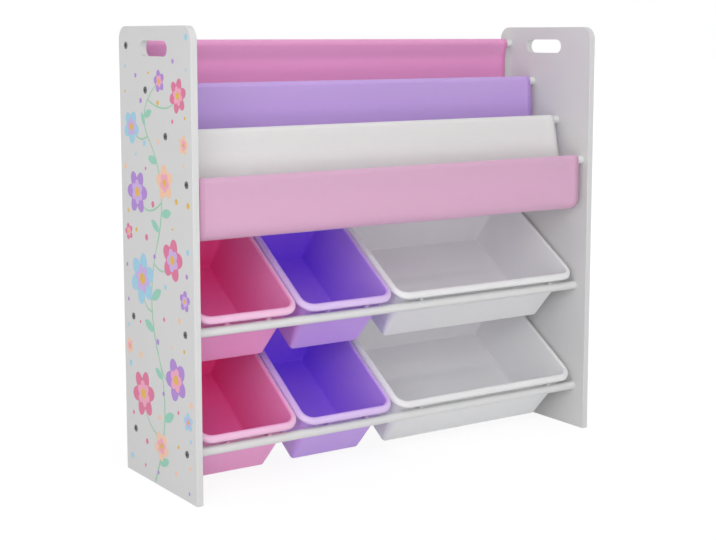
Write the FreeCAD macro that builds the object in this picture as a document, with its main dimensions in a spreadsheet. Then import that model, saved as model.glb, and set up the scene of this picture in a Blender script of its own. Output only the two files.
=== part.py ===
import FreeCAD, Part
import math
import os
import Sketcher
from FreeCAD import Placement, Rotation, Vector

# Children's rack: two side panels, four rods with cloth book slings in steps, and two rows of
# loose plastic bins that lie tilted on a front and a rear rail. All sizes are in millimetres.
# X runs along the rack, Y from front to back, Z up. The origin is on the floor, in the middle of
# the box that the whole rack fills.

# Driving sizes
SIZES = {
    # side panels
    "unit_width": 860,
    "panel_depth": 265,
    "panel_thickness": 12,
    "panel_corner": 24,
    "panel_edge": 1,
    "panel_above_rod": 32.5,
    # hand slots
    "handle_length": 100,
    "handle_height": 26,
    "handle_drop": 37,
    # sling rods, set back from the panels' front and rear edges
    "rod_diameter": 16,
    "rod_front_inset": 20.5,
    "rod_rear_inset": 28.5,
    "rod_step_up": 73.5,
    # bin rails, and the room around the bins that sets the heights of rails and rods
    "rail_diameter": 16,
    "rail_front_inset": 32.5,
    "rail_rear_inset": 38.5,
    "bin_floor_gap": 11.8,
    "bin_row_gap": 32.9,
    "bin_mouth": 129.7,
    # tubes, their plugs and their screws
    "tube_wall": 1.2,
    "plug_length": 25,
    "plug_gap": 0.05,
    "screw_diameter": 6,
    "screw_length": 30,
    "screw_head": 12,
    "screw_head_height": 3,
    "screw_head_sunk": 2.4,
    "screw_socket": 5,
    "screw_socket_depth": 2,
    "screw_hole_gap": 0.3,
    "thread_gap": 0.1,
    # bins
    "small_bin_width": 198,
    "bin_length": 282,
    "bin_depth": 124.5,
    "bin_wall": 2.5,
    "bin_gap": 2,
    "bin_side_gap": 5.5,
    "rim_width": 15,
    "rim_lip": 8,
    "rim_corner": 30,
    "rim_round": 3.5,
    "side_inset": 27,
    "end_inset": 24,
    "foot_corner": 4.5,
    "hook_drop": 26,
    "hook_grip": 3,
    "hook_width": 7,
    "hook_inset": 59,
    "seat_gap": 0.3,
    # cloth slings
    "cloth": 1.5,
    "sleeve_ease": 0.3,
    "sling_left_gap": 6,
    "sling_right_gap": 14,
    "sling_drop": 70,
    "sling_bend": 24,
    "seam_past_bend": 12,
    "sling_hem": 10,
    "seam_gap": 0.3,
    "back_sling_offset": 2,
    "purple_sling_lean": 4,
    "white_sling_lean": 12.5,
}

# Places worked out from the driving sizes
PLACES = {
    "inner_width": "sizes.unit_width - 2 * sizes.panel_thickness",
    "rail_spacing": "sizes.panel_depth - sizes.rail_front_inset - sizes.rail_rear_inset",
    "rod_step_back": "(sizes.panel_depth - sizes.rod_front_inset - sizes.rod_rear_inset) / 3",
    "bin_seat": "sizes.bin_depth + sizes.rail_diameter / 2 + sizes.seat_gap",
    "bin_tilt": "asin((bin_seat - sizes.hook_drop) / rail_spacing)",
    "bin_front": "sizes.rail_front_inset - sizes.hook_drop * sin(bin_tilt)",
    "bin_rise": "sizes.hook_drop * cos(bin_tilt)",
    "lower_rail_height": "sizes.bin_floor_gap + (sizes.bin_depth - sizes.hook_drop) * cos(bin_tilt)"
                         " - sizes.end_inset * sin(bin_tilt)",
    "row_pitch": "bin_seat / cos(bin_tilt) + sizes.rail_diameter / 2 + sizes.bin_row_gap",
    "upper_rail_height": "lower_rail_height + row_pitch",
    "sling_seam": "sizes.sling_drop + sizes.seam_past_bend",
    "sling_depth": "sizes.sling_drop + sizes.sling_bend + sizes.cloth / 2",
    "front_rod_height": "upper_rail_height + bin_rise + sizes.bin_mouth + sling_depth",
    "panel_height": "front_rod_height + 3 * sizes.rod_step_up + sizes.panel_above_rod",
    "bin_reach": "bin_front + (sizes.bin_length - sizes.end_inset) * cos(bin_tilt)"
                 " + sizes.bin_depth * sin(bin_tilt)",
    "front_y": "-max(bin_reach; sizes.panel_depth) / 2",
    "large_bin_width": "inner_width - 2 * (sizes.small_bin_width + sizes.bin_gap + sizes.bin_side_gap)",
    "wall_inset": "sizes.rim_width - sizes.bin_wall",
    "hook_foot": "sizes.hook_drop + sizes.hook_grip",
    "end_draft": "(sizes.end_inset - wall_inset) / sizes.bin_depth",
    "tube_end": "inner_width / 2",
    "head_face": "sizes.unit_width / 2 - sizes.screw_head_sunk + sizes.screw_head_height",
}

doc = FreeCAD.newDocument("rack")


def fill_sheet(name, cells):
    sheet = doc.addObject("Spreadsheet::Sheet", name)
    for row, (alias, content) in enumerate(cells.items(), start=1):
        sheet.set(f"A{row}", alias)
        sheet.set(f"B{row}", content)
        sheet.setAlias(f"B{row}", alias)
    return sheet


sizes = fill_sheet("sizes", {alias: str(number) for alias, number in SIZES.items()})
places = fill_sheet("places", {alias: "=" + formula for alias, formula in PLACES.items()})
doc.recompute()


def value(alias):
    cell = sizes.get(alias) if alias in SIZES else places.get(alias)
    return float(getattr(cell, "Value", cell))


def bind(item, **expressions):
    for path, expression in expressions.items():
        item.setExpression(path.replace("__", "."), expression)


def place(item, x="0", y="0", z="0"):
    bind(item, Placement__Base__x=x, Placement__Base__y=y, Placement__Base__z=z)


# Screw and tube places: distance behind the panels' front edge, and height

def rod_place(number):
    """Rod 1 is the back and top one, rod 4 the front and bottom one."""
    steps = 4 - number
    behind = f"(sizes.rod_front_inset + {steps} * places.rod_step_back)"
    height = f"(places.front_rod_height + {steps} * sizes.rod_step_up)"
    return behind, height


def rail_place(row, end):
    behind = {
        "front": "sizes.rail_front_inset",
        "rear": "(sizes.panel_depth - sizes.rail_rear_inset)",
    }[end]
    return behind, f"places.{row}_rail_height"


ROWS = ("upper", "lower")
RODS = {f"sling_rod_{number}": rod_place(number) for number in (1, 2, 3, 4)}
RAILS = {f"{row}_{end}_rail": rail_place(row, end) for row in ROWS for end in ("front", "rear")}
TUBES = {**RODS, **RAILS}


# Sketches

def new_sketch(body, name, plane, offset="0"):
    """A sketch on one of the body's own origin planes, moved along the plane's normal."""
    sketch = body.newObject("Sketcher::SketchObject", name)
    origin_plane = [item for item in body.Origin.OriginFeatures if item.Role == plane][0]
    sketch.AttachmentSupport = (origin_plane, "")
    sketch.MapMode = "FlatFace"
    bind(sketch, AttachmentOffset__Base__z=offset)
    return sketch


def constrain(sketch, expression, *constraint):
    """Adds a driving constraint whose size follows an expression."""
    number = sketch.evalExpression(expression)
    index = sketch.addConstraint(Sketcher.Constraint(*constraint, float(getattr(number, "Value", number))))
    sketch.setExpression(f"Constraints[{index}]", expression)


def join_round(sketch, first, second):
    """Joins the end of one curve to the start of the next without a corner."""
    sketch.addConstraint(Sketcher.Constraint("Tangent", first, 2, second, 1))


def line(sketch, start, end):
    return sketch.addGeometry(Part.LineSegment(Vector(*start, 0), Vector(*end, 0)))


def arc(sketch, centre, radius, start_degrees, end_degrees):
    circle = Part.Circle(Vector(*centre, 0), Vector(0, 0, 1), radius)
    turn = (math.radians(start_degrees), math.radians(end_degrees))
    return sketch.addGeometry(Part.ArcOfCircle(circle, *turn))


def rounded_rectangle(sketch, half_width, front, back, corner):
    """A rectangle with four round corners, even about the sketch's upright axis."""
    read = sketch.evalExpression
    x, y0, y1, r = (float(read(size)) for size in (half_width, front, back, corner))
    bottom = line(sketch, (-x + r, y0), (x - r, y0))
    corner_1 = arc(sketch, (x - r, y0 + r), r, 270, 360)
    right = line(sketch, (x, y0 + r), (x, y1 - r))
    corner_2 = arc(sketch, (x - r, y1 - r), r, 0, 90)
    top = line(sketch, (x - r, y1), (-x + r, y1))
    corner_3 = arc(sketch, (-x + r, y1 - r), r, 90, 180)
    left = line(sketch, (-x, y1 - r), (-x, y0 + r))
    corner_4 = arc(sketch, (-x + r, y0 + r), r, 180, 270)
    loop = [bottom, corner_1, right, corner_2, top, corner_3, left, corner_4]
    for first, second in zip(loop, loop[1:] + loop[:1]):
        join_round(sketch, first, second)
    for edge in (bottom, top):
        sketch.addConstraint(Sketcher.Constraint("Horizontal", edge))
    for edge in (left, right):
        sketch.addConstraint(Sketcher.Constraint("Vertical", edge))
    for other in (corner_2, corner_3, corner_4):
        sketch.addConstraint(Sketcher.Constraint("Equal", corner_1, other))
    constrain(sketch, corner, "Radius", corner_1)
    constrain(sketch, half_width, "DistanceX", -1, 1, right, 1)
    constrain(sketch, half_width, "DistanceX", left, 1, -1, 1)
    constrain(sketch, front, "DistanceY", -1, 1, bottom, 1)
    constrain(sketch, back, "DistanceY", -1, 1, top, 1)


def circles(sketch, centres, diameter):
    """Equal circles at the given places, which lie right of and above the origin."""
    size = float(sketch.evalExpression(diameter))
    for across, up in centres:
        centre = Vector(float(sketch.evalExpression(across)), float(sketch.evalExpression(up)), 0)
        ring = sketch.addGeometry(Part.Circle(centre, Vector(0, 0, 1), size / 2))
        constrain(sketch, across, "DistanceX", -1, 1, ring, 3)
        constrain(sketch, up, "DistanceY", -1, 1, ring, 3)
        constrain(sketch, diameter, "Diameter", ring)


def new_body(label):
    body = doc.addObject("PartDesign::Body", label)
    body.Label = label
    return body


def pad(body, sketch, length, reverse=False, even=False):
    feature = body.newObject("PartDesign::Pad", sketch.Name + "_pad")
    feature.Profile = sketch
    feature.Reversed = reverse
    feature.Midplane = even
    bind(feature, Length=length)
    return feature


def pocket(body, sketch, length=None, reverse=False, even=False):
    """Cuts a sketch's shape out of the body, right through it if no length is given."""
    doc.recompute()
    before = body.Shape.Volume
    feature = body.newObject("PartDesign::Pocket", sketch.Name + "_pocket")
    feature.Profile = sketch
    feature.Reversed = reverse
    feature.Midplane = even
    if length is None:
        feature.Type = "ThroughAll"
    else:
        bind(feature, Length=length)
    doc.recompute()
    if body.Shape.Volume >= before:
        raise RuntimeError(f"{feature.Name} cuts nothing")
    return feature


# Side panels

def panel_outline(sketch):
    """The board's outline from its bottom front corner, with its two top corners round."""
    depth, height, r = (value(alias) for alias in ("panel_depth", "panel_height", "panel_corner"))
    bottom = line(sketch, (0, 0), (depth, 0))
    rear = line(sketch, (depth, 0), (depth, height - r))
    rear_corner = arc(sketch, (depth - r, height - r), r, 0, 90)
    top = line(sketch, (depth - r, height), (r, height))
    front_corner = arc(sketch, (r, height - r), r, 90, 180)
    front = line(sketch, (0, height - r), (0, 0))
    sketch.addConstraint(Sketcher.Constraint("Coincident", bottom, 1, -1, 1))
    sketch.addConstraint(Sketcher.Constraint("Coincident", bottom, 2, rear, 1))
    sketch.addConstraint(Sketcher.Constraint("Coincident", front, 2, bottom, 1))
    rounds = [(rear, rear_corner), (rear_corner, top), (top, front_corner), (front_corner, front)]
    for first, second in rounds:
        join_round(sketch, first, second)
    for edge in (bottom, top):
        sketch.addConstraint(Sketcher.Constraint("Horizontal", edge))
    for edge in (front, rear):
        sketch.addConstraint(Sketcher.Constraint("Vertical", edge))
    sketch.addConstraint(Sketcher.Constraint("Equal", rear_corner, front_corner))
    constrain(sketch, "sizes.panel_corner", "Radius", rear_corner)
    constrain(sketch, "sizes.panel_depth", "DistanceX", bottom, 1, bottom, 2)
    constrain(sketch, "places.panel_height", "DistanceY", bottom, 1, top, 1)


def hand_slot(sketch):
    """A slot with round ends, in the middle of the board's depth."""
    r = value("handle_height") / 2
    half = value("handle_length") / 2 - r
    y = value("panel_depth") / 2
    z = value("panel_height") - value("handle_drop")
    bottom = line(sketch, (y - half, z - r), (y + half, z - r))
    rear = arc(sketch, (y + half, z), r, 270, 450)
    top = line(sketch, (y + half, z + r), (y - half, z + r))
    front = arc(sketch, (y - half, z), r, 90, 270)
    for first, second in ((bottom, rear), (rear, top), (top, front), (front, bottom)):
        join_round(sketch, first, second)
    sketch.addConstraint(Sketcher.Constraint("Horizontal", bottom))
    constrain(sketch, "sizes.handle_height / 2", "Radius", rear)
    constrain(sketch, "sizes.handle_length - sizes.handle_height", "DistanceX", bottom, 1, bottom, 2)
    constrain(sketch, "(sizes.panel_depth - sizes.handle_length + sizes.handle_height) / 2",
              "DistanceX", -1, 1, bottom, 1)
    constrain(sketch, "places.panel_height - sizes.handle_drop - sizes.handle_height / 2",
              "DistanceY", -1, 1, bottom, 1)


def side_panel(label, inner_x, outer_offset, outer_reverse):
    """A board with its hand slot and a stepped hole for each tube's screw."""
    body = new_body(label)
    outline = new_sketch(body, label + "_outline", "YZ_Plane")
    panel_outline(outline)
    board = pad(body, outline, "sizes.panel_thickness")
    doc.recompute()
    broad = max(face.Area for face in board.Shape.Faces)
    broad_faces = [f"Face{i}" for i, face in enumerate(board.Shape.Faces, 1) if face.Area > 0.9 * broad]
    eased = body.newObject("PartDesign::Fillet", label + "_edges")
    eased.Base = (board, broad_faces)
    bind(eased, Radius="min(sizes.panel_edge; sizes.panel_thickness / 3)")
    slot = new_sketch(body, label + "_slot", "YZ_Plane")
    hand_slot(slot)
    pocket(body, slot, even=True)
    holes = new_sketch(body, label + "_holes", "YZ_Plane")
    circles(holes, TUBES.values(), "sizes.screw_diameter + 2 * sizes.screw_hole_gap")
    pocket(body, holes, even=True)
    recesses = new_sketch(body, label + "_recesses", "YZ_Plane", outer_offset)
    circles(recesses, TUBES.values(), "sizes.screw_head + 2 * sizes.screw_hole_gap")
    pocket(body, recesses, "sizes.screw_head_sunk", reverse=outer_reverse)
    place(body, x=inner_x, y="places.front_y")
    return body


# Tubes, plugs and screws: round pieces that lie along X

LYING = Placement(Vector(0, 0, 0), Rotation(Vector(0, 1, 0), 90))


def lying_cylinder(name, radius, length, start):
    rod = doc.addObject("Part::Cylinder", name)
    rod.Placement = LYING
    bind(rod, Radius=radius, Height=length)
    place(rod, x=start)
    return rod


def cut(name, base, tool):
    feature = doc.addObject("Part::Cut", name)
    feature.Base = base
    feature.Tool = tool
    return feature


def group(label, pieces):
    compound = doc.addObject("Part::Compound", label)
    compound.Label = label
    compound.Links = pieces
    return compound


def at_tube(piece, tube):
    behind, height = TUBES[tube]
    place(piece, y=f"places.front_y + {behind}", z=height)


def tube_diameter(tube):
    return "sizes.rod_diameter" if tube in RODS else "sizes.rail_diameter"


def make_tube(tube):
    radius = f"{tube_diameter(tube)} / 2"
    start = "-places.tube_end"
    outside = lying_cylinder(tube + "_outside", radius, "places.inner_width", start)
    bore = lying_cylinder(tube + "_bore", f"{radius} - sizes.tube_wall", "places.inner_width", start)
    piece = cut(tube, outside, bore)
    piece.Label = tube
    at_tube(piece, tube)
    return piece


def make_plug(side, tube):
    """A threaded plug that fills one end of a tube."""
    start = "-places.tube_end" if side == "left" else "places.tube_end - sizes.plug_length"
    name = f"{side}_{tube}_plug"
    radius = f"{tube_diameter(tube)} / 2 - sizes.tube_wall - sizes.plug_gap"
    core = lying_cylinder(name + "_core", radius, "sizes.plug_length", start)
    thread = "sizes.screw_diameter / 2 + sizes.thread_gap"
    bore = lying_cylinder(name + "_bore", thread, "sizes.plug_length", start)
    plug = cut(name, core, bore)
    at_tube(plug, tube)
    return plug


def make_screw(side, tube):
    """A screw with a low round head and a six-sided socket, sunk in the panel's outer face."""
    name = f"{side}_{tube}_screw"
    seat = "(sizes.unit_width / 2 - sizes.screw_head_sunk)"
    starts = {
        "left": ("-places.head_face", f"-{seat}", "-places.head_face"),
        "right": (seat, f"{seat} - sizes.screw_length", "places.head_face - sizes.screw_socket_depth"),
    }[side]
    head = lying_cylinder(name + "_head", "sizes.screw_head / 2", "sizes.screw_head_height", starts[0])
    shank = lying_cylinder(name + "_shank", "sizes.screw_diameter / 2", "sizes.screw_length", starts[1])
    solid = doc.addObject("Part::Fuse", name + "_solid")
    solid.Base = head
    solid.Tool = shank
    socket = doc.addObject("Part::Prism", name + "_socket")
    socket.Polygon = 6
    socket.Placement = LYING
    bind(socket, Circumradius="sizes.screw_socket / sqrt(3)", Height="sizes.screw_socket_depth")
    place(socket, x=starts[2])
    screw = cut(name, solid, socket)
    at_tube(screw, tube)
    return screw


# Bins: built lying level, rim upwards, with the rim's front edge on the X axis, then tilted

def bin_section(body, name, half_width, inset, corner, offset):
    sketch = new_sketch(body, name, "XY_Plane", offset)
    side, end = inset
    rounded_rectangle(sketch, f"{half_width} - ({side})", end, f"sizes.bin_length - ({end})", corner)
    return sketch


def loft(body, kind, bottom, top):
    feature = body.newObject("PartDesign::" + kind, bottom.Name + "_" + kind)
    feature.Profile = bottom
    feature.Sections = [top]
    feature.Ruled = True
    return feature


def hook_outline(sketch):
    """The hook tab seen from the side: from the rim down behind the rail, back into the wall."""
    front = "sizes.bin_wall / 2"
    top = "sizes.bin_wall / 2"
    foot = "places.hook_foot"
    wall_middle = "places.wall_inset + sizes.bin_wall / 2"
    corners = [
        (front, top),
        (front, foot),
        (f"{wall_middle} + places.end_draft * places.hook_foot", foot),
        (f"{wall_middle} + places.end_draft * sizes.bin_wall / 2", top),
    ]
    points = [(float(sketch.evalExpression(y)), -float(sketch.evalExpression(z))) for y, z in corners]
    edges = [line(sketch, points[i], points[(i + 1) % 4]) for i in range(4)]
    for i, edge in enumerate(edges):
        sketch.addConstraint(Sketcher.Constraint("Coincident", edge, 2, edges[(i + 1) % 4], 1))
        constrain(sketch, corners[i][0], "DistanceX", -1, 1, edge, 1)
        constrain(sketch, corners[i][1], "DistanceY", edge, 1, -1, 1)


def rail_seat(sketch):
    """The front rail's round place under the hooks, straight below the rim's front edge."""
    radius = "sizes.rail_diameter / 2 + sizes.seat_gap"
    centre = Vector(0, -value("hook_drop"), 0)
    ring = sketch.addGeometry(Part.Circle(centre, Vector(0, 0, 1), float(sketch.evalExpression(radius))))
    sketch.addConstraint(Sketcher.Constraint("PointOnObject", ring, 3, -2))
    constrain(sketch, "sizes.hook_drop", "DistanceY", ring, 3, -1, 1)
    constrain(sketch, radius, "Radius", ring)


def make_bin(label, width, middle_x, rail_height):
    body = new_body(label)
    half = f"{width} / 2"
    wall = "sizes.bin_wall"
    floor = "-sizes.bin_depth"
    # rim: a slab with a round upper edge, hollow below so that a lip hangs all round
    slab = bin_section(body, label + "_rim", half, ("0", "0"), "sizes.rim_corner", "0")
    rim = pad(body, slab, "sizes.rim_lip", reverse=True)
    doc.recompute()
    top_face = [f"Face{i}" for i, face in enumerate(rim.Shape.Faces, 1) if face.CenterOfMass.z > -1e-6]
    rolled = body.newObject("PartDesign::Fillet", label + "_rolled_rim")
    rolled.Base = (rim, top_face)
    bind(rolled, Radius=f"min(sizes.rim_round; 1.8 * {wall}; 0.9 * sizes.rim_lip)")
    under = bin_section(body, label + "_under_rim", half, (wall, wall),
                        f"max(sizes.rim_corner - {wall}; 1)", "-sizes.rim_lip")
    pocket(body, under, f"sizes.rim_lip - {wall}", reverse=True)
    # tapered shell
    top_corner = "max(sizes.rim_corner - places.wall_inset; 2)"
    outer_foot = bin_section(body, label + "_foot", half, ("sizes.side_inset", "sizes.end_inset"),
                             "sizes.foot_corner", floor)
    outer_top = bin_section(body, label + "_shoulder", half, ("places.wall_inset", "places.wall_inset"),
                            top_corner, f"-{wall} / 2")
    loft(body, "AdditiveLoft", outer_foot, outer_top)
    inner_foot = bin_section(body, label + "_inner_foot", half,
                             (f"sizes.side_inset + {wall}", f"sizes.end_inset + {wall}"),
                             f"max(sizes.foot_corner - {wall}; 1)", f"{floor} + {wall}")
    inner_top = bin_section(body, label + "_mouth", half, ("sizes.rim_width", "sizes.rim_width"),
                            "max(sizes.rim_corner - sizes.rim_width; 1)", "0")
    loft(body, "SubtractiveLoft", inner_foot, inner_top)
    # two hook tabs that sit over the front rail
    hook = new_sketch(body, label + "_hook", "YZ_Plane", f"{half} - sizes.hook_inset")
    hook_outline(hook)
    tab = pad(body, hook, "sizes.hook_width", even=True)
    pair = body.newObject("PartDesign::Mirrored", label + "_hooks")
    pair.Originals = [tab]
    side_plane = [item for item in body.Origin.OriginFeatures if item.Role == "YZ_Plane"][0]
    pair.MirrorPlane = (side_plane, [""])
    body.Tip = pair
    seat = new_sketch(body, label + "_rail_seat", "YZ_Plane")
    rail_seat(seat)
    pocket(body, seat, even=True)
    body.Placement = Placement(Vector(0, 0, 0), Rotation(Vector(1, 0, 0), value("bin_tilt")))
    bind(body, Placement__Rotation__Angle="places.bin_tilt")
    place(body, x=middle_x, y="places.front_y + places.bin_front", z=f"{rail_height} + places.bin_rise")
    return body


# Slings: a sleeve round the rod, a front that hangs from it, a round bottom, and a rear part that
# rises to its seam on the front of the sling behind. Profiles lie in the YZ plane.

class SlingProfile:
    """The middle line of one sling's cloth, from its rod downwards."""

    def __init__(self, number, offset, lean_degrees, straight):
        behind, height = RODS[f"sling_rod_{number}"]
        lean = math.radians(lean_degrees)
        self.straight = straight
        self.rod = Vector(0, value("front_y") + sizes.evalExpression(behind), sizes.evalExpression(height))
        self.down = Vector(0, -math.sin(lean), -math.cos(lean))
        self.forward = Vector(0, -math.cos(lean), math.sin(lean))
        self.top = self.rod + self.forward * offset
        self.bottom = self.top + self.down * straight
        self.bend_centre = self.bottom - self.forward * value("sling_bend")
        self.start_turn = math.pi - lean

    def radial(self, turn):
        return Vector(0, math.cos(turn), math.sin(turn))

    def front_at(self, length):
        """The middle line's point at a length below the rod, and the direction out of its front."""
        past_straight = length - self.straight
        if past_straight <= 0:
            return self.top + self.down * length, self.forward
        out = self.radial(self.start_turn + past_straight / value("sling_bend"))
        return self.bend_centre + out * value("sling_bend"), out

    def end_turn(self, seam):
        """Where the round bottom ends, so that the rear part leaves it straight for the seam."""
        way = seam - self.bend_centre
        turn = math.atan2(way.z, way.y) - math.acos(value("sling_bend") / way.Length)
        return turn + 2 * math.pi


def flat_strip(start, end, out, half):
    points = [start + out * half, end + out * half, end - out * half, start - out * half]
    return Part.Face(Part.makePolygon(points + points[:1]))


def bent_strip(profile, seam, half):
    """The cloth's section: front, round bottom and rear part, as one face."""
    end = profile.end_turn(seam)
    middle = (profile.start_turn + end) / 2
    start_out, middle_out, end_out = (profile.radial(turn) for turn in (profile.start_turn, middle, end))
    centre = profile.bend_centre
    outer, inner = value("sling_bend") + half, value("sling_bend") - half
    front_top, back_top = profile.top + start_out * half, profile.top - start_out * half
    seam_out, seam_in = seam + end_out * half, seam - end_out * half
    edges = [
        Part.LineSegment(front_top, centre + start_out * outer),
        Part.Arc(centre + start_out * outer, centre + middle_out * outer, centre + end_out * outer),
        Part.LineSegment(centre + end_out * outer, seam_out),
        Part.LineSegment(seam_out, seam_in),
        Part.LineSegment(seam_in, centre + end_out * inner),
        Part.Arc(centre + end_out * inner, centre + middle_out * inner, centre + start_out * inner),
        Part.LineSegment(centre + start_out * inner, back_top),
        Part.LineSegment(back_top, front_top),
    ]
    return Part.Face(Part.Wire([edge.toShape() for edge in edges]))


def make_sling(label, profile, behind):
    """The cloth as one solid; its rear part ends a seam's gap short of the sling behind."""
    cloth = value("cloth")
    sleeve_inside = value("rod_diameter") / 2 + value("sleeve_ease")
    width = value("inner_width") - value("sling_left_gap") - value("sling_right_gap")
    along = Vector(width, 0, 0)
    shift = Vector(value("sling_left_gap") - value("inner_width") / 2, 0, 0)
    if behind is None:
        section = flat_strip(profile.top, profile.bottom, profile.forward, cloth / 2)
    else:
        point, out = behind.front_at(value("sling_seam"))
        section = bent_strip(profile, point + out * (cloth + value("seam_gap")), cloth / 2)
    hanging = section.extrude(along)
    sleeve = Part.makeCylinder(sleeve_inside + cloth, width, profile.rod, Vector(1, 0, 0))
    rod_space = Part.makeCylinder(sleeve_inside, width, profile.rod, Vector(1, 0, 0))
    solid = hanging.fuse(sleeve).cut(rod_space).removeSplitter().Solids[0]
    sling = doc.addObject("Part::Feature", label)
    sling.Label = label
    sling.Shape = solid
    sling.Placement = Placement(shift, Rotation())
    return sling


# The rack

parts = [
    side_panel("left_panel", "-sizes.unit_width / 2", "0", True),
    side_panel("right_panel", "places.tube_end", "sizes.panel_thickness", False),
]
parts += [make_tube(tube) for tube in TUBES]
for side in ("left", "right"):
    parts.append(group(f"{side}_plugs", [make_plug(side, tube) for tube in TUBES]))
    parts.append(group(f"{side}_screws", [make_screw(side, tube) for tube in TUBES]))

small = "sizes.small_bin_width"
large = "places.large_bin_width"
first_edge = "-places.inner_width / 2 + sizes.bin_side_gap"
BINS = {
    "pink": (small, f"{first_edge} + {small} / 2"),
    "purple": (small, f"{first_edge} + {small} * 3 / 2 + sizes.bin_gap"),
    "white": (large, f"places.inner_width / 2 - sizes.bin_side_gap - {large} / 2"),
}
for row in ROWS:
    for colour, (width, middle_x) in BINS.items():
        parts.append(make_bin(f"{row}_bin_{colour}", width, middle_x, RAILS[f"{row}_front_rail"][1]))

sleeve_front = value("rod_diameter") / 2 + value("sleeve_ease") + value("cloth") / 2
drop = value("sling_drop")
back_drop = value("sling_seam") + value("sling_hem")
SLINGS = {
    "sling_1_pink": SlingProfile(1, value("back_sling_offset"), 0, back_drop),
    "sling_2_purple": SlingProfile(2, sleeve_front, value("purple_sling_lean"), drop),
    "sling_3_white": SlingProfile(3, sleeve_front, value("white_sling_lean"), drop),
    "sling_4_pink": SlingProfile(4, sleeve_front, 0, drop),
}
behind = None
for label, profile in SLINGS.items():
    parts.append(make_sling(label, profile, behind))
    behind = profile

doc.recompute()
for item in doc.Objects:
    if "Invalid" in item.State or "Error" in item.State:
        raise RuntimeError(f"{item.Name} failed: {item.State}")
for piece in parts:
    if piece.Shape.isNull() or not piece.Shape.isValid():
        raise RuntimeError(f"{piece.Label} has no valid shape")

os.makedirs("parts", exist_ok=True)
for piece in parts:
    piece.Shape.exportStep(f"parts/{piece.Label}.step")
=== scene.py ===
import bmesh
import bpy
import math
import random
from mathutils import Matrix, Vector, noise


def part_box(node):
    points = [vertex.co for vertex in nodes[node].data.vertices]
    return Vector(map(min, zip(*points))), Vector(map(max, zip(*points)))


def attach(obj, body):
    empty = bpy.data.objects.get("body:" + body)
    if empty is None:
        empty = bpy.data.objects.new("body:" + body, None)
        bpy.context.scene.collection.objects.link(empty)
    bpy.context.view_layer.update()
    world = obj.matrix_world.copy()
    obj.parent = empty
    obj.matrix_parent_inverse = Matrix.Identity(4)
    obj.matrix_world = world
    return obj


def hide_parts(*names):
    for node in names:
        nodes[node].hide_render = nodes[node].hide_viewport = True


# A children's rack: white side panels, cloth book slings on stepped rods, and tilted toy bins on
# rails. Metres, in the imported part's own frame: X along the rack, Y to the back, Z up.

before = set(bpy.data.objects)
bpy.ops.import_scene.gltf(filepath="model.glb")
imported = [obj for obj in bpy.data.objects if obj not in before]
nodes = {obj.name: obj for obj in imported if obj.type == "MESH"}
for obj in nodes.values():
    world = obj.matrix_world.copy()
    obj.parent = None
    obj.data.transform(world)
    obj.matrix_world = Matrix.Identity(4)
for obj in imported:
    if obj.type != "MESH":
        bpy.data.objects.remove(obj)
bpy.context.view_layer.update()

# Tubes, with the wall that the part's source has
TUBE_WALL = 0.0012
TUBE_SIDES = 48

# Edges that turn by more than this stay sharp on tubes and print
SHARP_TURN = math.radians(40)

# Bins, with sizes that the part's source has
BIN_LENGTH = 0.282
BIN_DEPTH = 0.1245
BIN_WALL = 0.0025
RIM_CORNER = 0.030
SIDE_INSET = 0.027
END_INSET = 0.024
HOOK_DROP = 0.026
HOOK_GRIP = 0.003
HOOK_WIDTH = 0.007
HOOK_INSET = 0.059
SEAT_GAP = 0.0003

# The finer shape of the bins' rim, mouth, foot and hooks
RIM_REACH = 0.0115
RIM_LIP = 0.009
RIM_SLOPE = 0.007
MOUTH_ROUND = 0.003
FOOT_SHARE = 0.25
FOOT_ROUND = 0.003
HOOK_FRONT = 0.0025
HOOK_EDGE = 0.0007
ROUND_STEPS = 8
WELD_GAP = 0.00001

# How far the bins' painted shade, their deeper inner colour, takes over: at the front of the mouth, and
# more down and back.
# The rim's painted highlight, its pale edge colour, fades to the back as painted shade.
PAINTED_SHADE_MOUTH = 0.1
PAINTED_SHADE_DOWN = 0.4
PAINTED_SHADE_BACK = 0.5
RIM_HIGHLIGHT_FADE = 0.8

# Slings, with sizes that the part's source has. Each has its number, back to front, its node, and
# the degrees by which its front leans.
SLING_DROP = 0.070
SLING_BEND = 0.024
SEAM_PAST_BEND = 0.012
SIDE_HEM = 0.010
BACK_SLING_OFFSET = 0.002
SLINGS = {
    1: ("sling_1_pink", 0.0),
    2: ("sling_2_purple", 4.0),
    3: ("sling_3_white", 12.5),
    4: ("sling_4_pink", 0.0),
}

# The slings' cloth: its thickness without and with a hem, its sleeve, and the steps of its mesh
CLOTH = 0.0011
CLOTH_AND_HEM = 0.0018
SLEEVE_EASE = 0.00105
SLEEVE_DEPTH = 0.026
CLOTH_STEP = 0.009
HEM_STEP = 0.0015
SLEEVE_TURN = 0.15
BEND_TURN = 0.2

# Weave and stitches. A hem's doubled cloth has the single cloth's colour to the power of HEM_DEPTH:
# partly the doubled cloth's own deeper tone, partly painted shade where less light passes two layers.
THREAD_PITCH = 0.0011
STITCH_LENGTH = 0.0032
STITCH_SHARE = 0.72
STITCH_HALF_WIDTH = 0.0004
STITCH_INSET = 0.0015
HEM_DEPTH = 1.13

# The cloth's unevenness: where it starts below the rod, how soon it is full, and its two waves
RIPPLE_START = 2.2 * SLEEVE_DEPTH
RIPPLE_EASE = 0.04
RIPPLE_ACROSS = 5.0
RIPPLE_ALONG = 7.0
BROAD_WAVE = 0.0011
FINE_WAVE = 0.0004
FINE_SCALE = 3.1

# The print: how deep its ink is rooted in the panel, how much each stem lies over the last, and the
# steps and shares of its shapes
PRINT_ROOT = 0.00005
STEM_LIFT = 0.000003
STEM_STEPS = 24
STEM_TAPER = 0.4
LEAF_SIDES = 32
LEAF_SHARE = 0.42
DOT_SIDES = 20
PETAL_SIDES = 12
PETAL_NOTCH = 0.38
INNER_NOTCH = 0.30
INNER_SHARE = 0.56
MIDDLE_SHARE = 0.22

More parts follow.
